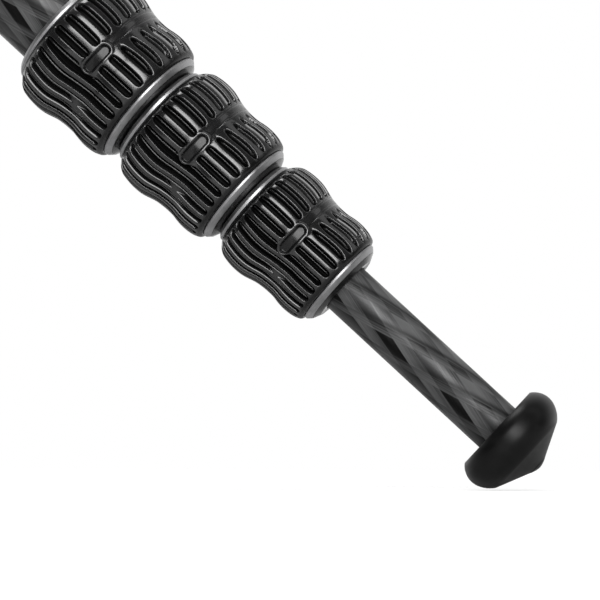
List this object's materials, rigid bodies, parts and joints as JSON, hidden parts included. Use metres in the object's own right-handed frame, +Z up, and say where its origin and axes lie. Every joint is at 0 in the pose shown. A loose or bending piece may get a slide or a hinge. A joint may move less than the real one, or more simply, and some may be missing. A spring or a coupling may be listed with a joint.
{
  "type": "travel tripod",
  "caption": "Folding tripod with nested carbon tube legs, ribbed rubber twist locks, pull-out angle stops, a centre column with head screw and bag hook.",
  "frame": {"origin": "centre of the head platform's top face, on the stud's axis", "axes": "+Z up along the head stud, +X over leg a, the leg that the picture shows"},
  "size_m": [0.6134, 0.7032, 0.3787],
  "materials": {
    "grip_rubber": "moulded, matte",
    "foot_rubber": "moulded, satin",
    "satin_aluminium": "turned and anodised, satin",
    "carbon": "wound carbon fibre, clear lacquer",
    "cast_alloy": "fine textured black coat",
    "acetal": "moulded",
    "steel": "turned"
  },
  "bodies": {
    "hub": {"spider": "cast_alloy", "pivot_bolts": "steel", "column_collet": "acetal"},
    "column": {"column_tube": "carbon", "head_platform": "cast_alloy", "head_stud": "steel", "set_screws": "steel", "column_cap": "satin_aluminium"},
    "column_lock": {"column_lock_ring": "satin_aluminium", "column_grip": "grip_rubber"},
    "hook": {"bag_hook": "steel"},
    "leg_a": {"yoke_a": "cast_alloy", "tube_1_a": "carbon", "clamp_1_a": "satin_aluminium"},
    "stop_a": {"angle_stop_a": "satin_aluminium"},
    "lock_1_a": {"lock_ring_1_a": "satin_aluminium", "grip_1_a": "grip_rubber"},
    "lock_2_a": {"lock_ring_2_a": "satin_aluminium", "grip_2_a": "grip_rubber"},
    "lock_3_a": {"lock_ring_3_a": "satin_aluminium", "grip_3_a": "grip_rubber"},
    "section_2_a": {"tube_2_a": "carbon", "clamp_2_a": "satin_aluminium"},
    "section_3_a": {"tube_3_a": "carbon", "clamp_3_a": "satin_aluminium"},
    "section_4_a": {"foot_tube_a": "carbon", "foot_a": "foot_rubber"},
    "leg_b": {"yoke_b": "cast_alloy", "tube_1_b": "carbon", "clamp_1_b": "satin_aluminium"},
    "stop_b": {"angle_stop_b": "satin_aluminium"},
    "lock_1_b": {"lock_ring_1_b": "satin_aluminium", "grip_1_b": "grip_rubber"},
    "lock_2_b": {"lock_ring_2_b": "satin_aluminium", "grip_2_b": "grip_rubber"},
    "lock_3_b": {"lock_ring_3_b": "satin_aluminium", "grip_3_b": "grip_rubber"},
    "section_2_b": {"tube_2_b": "carbon", "clamp_2_b": "satin_aluminium"},
    "section_3_b": {"tube_3_b": "carbon", "clamp_3_b": "satin_aluminium"},
    "section_4_b": {"foot_tube_b": "carbon", "foot_b": "foot_rubber"},
    "leg_c": {"yoke_c": "cast_alloy", "tube_1_c": "carbon", "clamp_1_c": "satin_aluminium"},
    "stop_c": {"angle_stop_c": "satin_aluminium"},
    "lock_1_c": {"lock_ring_1_c": "satin_aluminium", "grip_1_c": "grip_rubber"},
    "lock_2_c": {"lock_ring_2_c": "satin_aluminium", "grip_2_c": "grip_rubber"},
    "lock_3_c": {"lock_ring_3_c": "satin_aluminium", "grip_3_c": "grip_rubber"},
    "section_2_c": {"tube_2_c": "carbon", "clamp_2_c": "satin_aluminium"},
    "section_3_c": {"tube_3_c": "carbon", "clamp_3_c": "satin_aluminium"},
    "section_4_c": {"foot_tube_c": "carbon", "foot_c": "foot_rubber"}
  },
  "joints": [
    {"name": "column_slide", "type": "slide", "parent": "hub", "child": "column", "axis": [0, 0, 1], "range_m": [0, 0.17]},
    {"name": "column_lock_turn", "type": "hinge", "parent": "hub", "child": "column_lock", "pos_m": [0, 0, -0.1], "axis": [0, 0, -1], "range_deg": [0, 90]},
    {"name": "hook_swivel", "type": "hinge", "parent": "column", "child": "hook", "pos_m": [0, 0, -0.3], "axis": [0, 0, -1], "continuous": true},
    {"name": "leg_fold_a", "type": "hinge", "parent": "hub", "child": "leg_a", "pos_m": [0.035, 0, -0.027], "axis": [0, -1, 0], "range_deg": [-47.2, 0]},
    {"name": "stop_slide_a", "type": "slide", "parent": "leg_a", "child": "stop_a", "axis": [0.7337, 0, -0.6794], "range_m": [0, 0.0034], "stiffness_N_per_m": 300, "springref_m": -0.004},
    {"name": "lock_turn_1_a", "type": "hinge", "parent": "leg_a", "child": "lock_1_a", "pos_m": [0.035, 0, -0.027], "axis": [0.7337, 0, -0.6794], "range_deg": [0, 90]},
    {"name": "lock_turn_2_a", "type": "hinge", "parent": "section_2_a", "child": "lock_2_a", "pos_m": [0.035, 0, -0.027], "axis": [0.7337, 0, -0.6794], "range_deg": [0, 90]},
    {"name": "lock_turn_3_a", "type": "hinge", "parent": "section_3_a", "child": "lock_3_a", "pos_m": [0.035, 0, -0.027], "axis": [0.7337, 0, -0.6794], "range_deg": [0, 90]},
    {"name": "section_slide_2_a", "type": "slide", "parent": "leg_a", "child": "section_2_a", "axis": [0.7337, 0, -0.6794], "range_m": [0, 0.24]},
    {"name": "section_slide_3_a", "type": "slide", "parent": "section_2_a", "child": "section_3_a", "axis": [0.7337, 0, -0.6794], "range_m": [0, 0.24]},
    {"name": "section_slide_4_a", "type": "slide", "parent": "section_3_a", "child": "section_4_a", "axis": [0.7337, 0, -0.6794], "range_m": [-0.05, 0.2]},
    {"name": "leg_fold_b", "type": "hinge", "parent": "hub", "child": "leg_b", "pos_m": [-0.0175, 0.03031, -0.027], "axis": [0.866, 0.5, 0], "range_deg": [-47.2, 0]},
    {"name": "stop_slide_b", "type": "slide", "parent": "leg_b", "child": "stop_b", "axis": [-0.3669, 0.6354, -0.6794], "range_m": [0, 0.0034], "stiffness_N_per_m": 300, "springref_m": -0.004},
    {"name": "lock_turn_1_b", "type": "hinge", "parent": "leg_b", "child": "lock_1_b", "pos_m": [-0.0175, 0.03031, -0.027], "axis": [-0.3669, 0.6354, -0.6794], "range_deg": [0, 90]},
    {"name": "lock_turn_2_b", "type": "hinge", "parent": "section_2_b", "child": "lock_2_b", "pos_m": [-0.0175, 0.03031, -0.027], "axis": [-0.3669, 0.6354, -0.6794], "range_deg": [0, 90]},
    {"name": "lock_turn_3_b", "type": "hinge", "parent": "section_3_b", "child": "lock_3_b", "pos_m": [-0.0175, 0.03031, -0.027], "axis": [-0.3669, 0.6354, -0.6794], "range_deg": [0, 90]},
    {"name": "section_slide_2_b", "type": "slide", "parent": "leg_b", "child": "section_2_b", "axis": [-0.3669, 0.6354, -0.6794], "range_m": [0, 0.24]},
    {"name": "section_slide_3_b", "type": "slide", "parent": "section_2_b", "child": "section_3_b", "axis": [-0.3669, 0.6354, -0.6794], "range_m": [0, 0.24]},
    {"name": "section_slide_4_b", "type": "slide", "parent": "section_3_b", "child": "section_4_b", "axis": [-0.3669, 0.6354, -0.6794], "range_m": [-0.05, 0.2]},
    {"name": "leg_fold_c", "type": "hinge", "parent": "hub", "child": "leg_c", "pos_m": [-0.0175, -0.03031, -0.027], "axis": [-0.866, 0.5, 0], "range_deg": [-47.2, 0]},
    {"name": "stop_slide_c", "type": "slide", "parent": "leg_c", "child": "stop_c", "axis": [-0.3669, -0.6354, -0.6794], "range_m": [0, 0.0034], "stiffness_N_per_m": 300, "springref_m": -0.004},
    {"name": "lock_turn_1_c", "type": "hinge", "parent": "leg_c", "child": "lock_1_c", "pos_m": [-0.0175, -0.03031, -0.027], "axis": [-0.3669, -0.6354, -0.6794], "range_deg": [0, 90]},
    {"name": "lock_turn_2_c", "type": "hinge", "parent": "section_2_c", "child": "lock_2_c", "pos_m": [-0.0175, -0.03031, -0.027], "axis": [-0.3669, -0.6354, -0.6794], "range_deg": [0, 90]},
    {"name": "lock_turn_3_c", "type": "hinge", "parent": "section_3_c", "child": "lock_3_c", "pos_m": [-0.0175, -0.03031, -0.027], "axis": [-0.3669, -0.6354, -0.6794], "range_deg": [0, 90]},
    {"name": "section_slide_2_c", "type": "slide", "parent": "leg_c", "child": "section_2_c", "axis": [-0.3669, -0.6354, -0.6794], "range_m": [0, 0.24]},
    {"name": "section_slide_3_c", "type": "slide", "parent": "section_2_c", "child": "section_3_c", "axis": [-0.3669, -0.6354, -0.6794], "range_m": [0, 0.24]},
    {"name": "section_slide_4_c", "type": "slide", "parent": "section_3_c", "child": "section_4_c", "axis": [-0.3669, -0.6354, -0.6794], "range_m": [-0.05, 0.2]}
  ]
}
